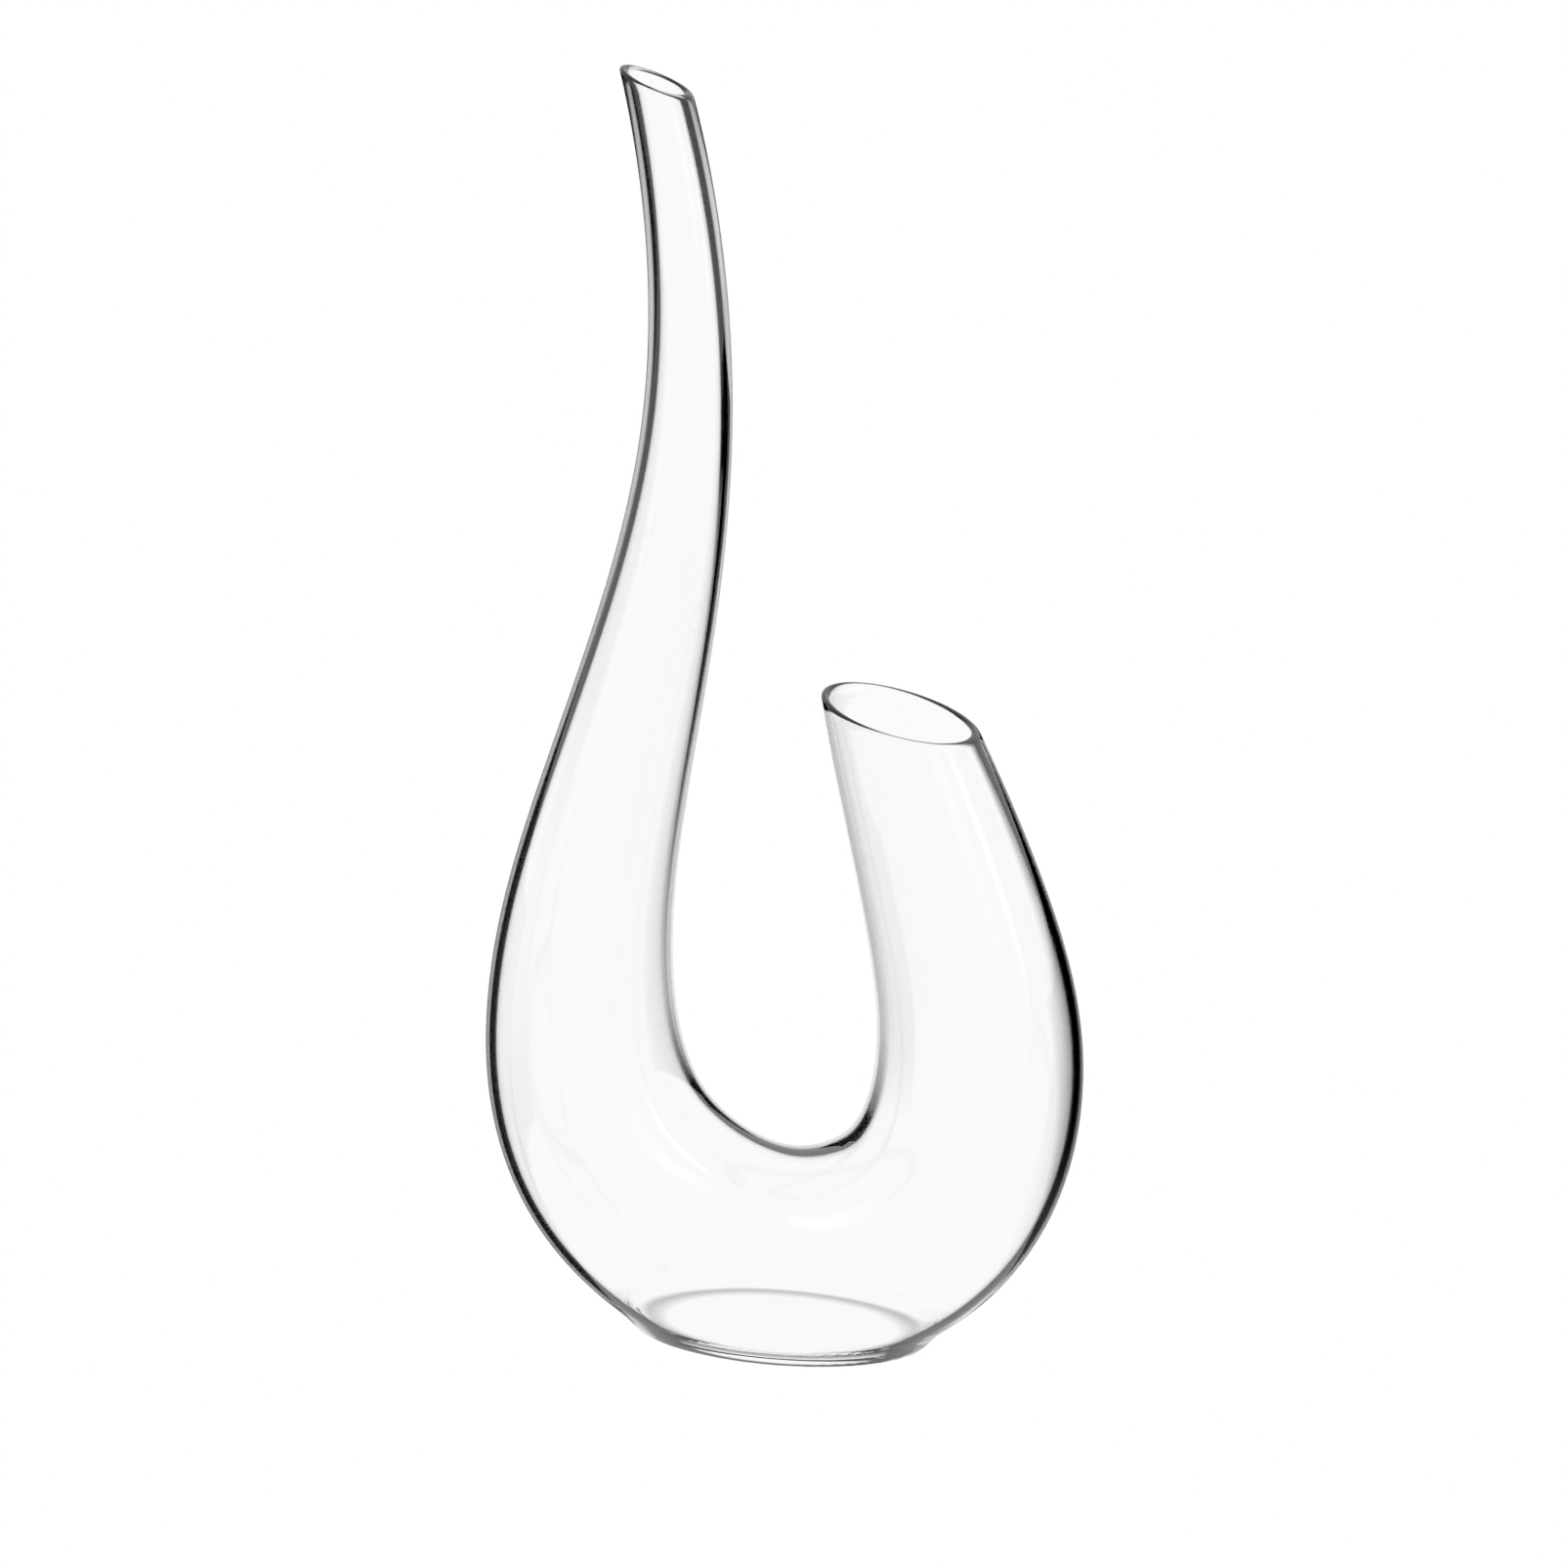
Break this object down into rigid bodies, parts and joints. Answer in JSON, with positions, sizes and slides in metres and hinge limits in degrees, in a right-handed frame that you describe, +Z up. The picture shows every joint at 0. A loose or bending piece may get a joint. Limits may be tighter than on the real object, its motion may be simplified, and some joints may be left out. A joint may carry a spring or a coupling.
{
  "type": "wine decanter",
  "caption": "U-shaped clear glass wine decanter with a tall slender pouring arm, a short wide filling arm, slanted rounded lips and a flat pressed foot.",
  "frame": {"origin": "on the foot's flat underside, straight below the lowest point of the glass tube's centreline", "axes": "+Z up; the U lies in the XZ plane with the tall pouring arm on -X and the short filling arm on +X; Y is across the glass tube"},
  "size_m": [0.193, 0.0726, 0.4113],
  "materials": {
    "clear_glass": "fire-polished, clear and colourless"
  },
  "bodies": {
    "root": {"pouring_lip": "clear_glass", "pouring_neck": "clear_glass", "tall_arm": "clear_glass", "tall_side_bend": "clear_glass", "short_side_bend": "clear_glass", "foot": "clear_glass", "filling_arm": "clear_glass", "filling_lip": "clear_glass"}
  },
  "joints": []
}
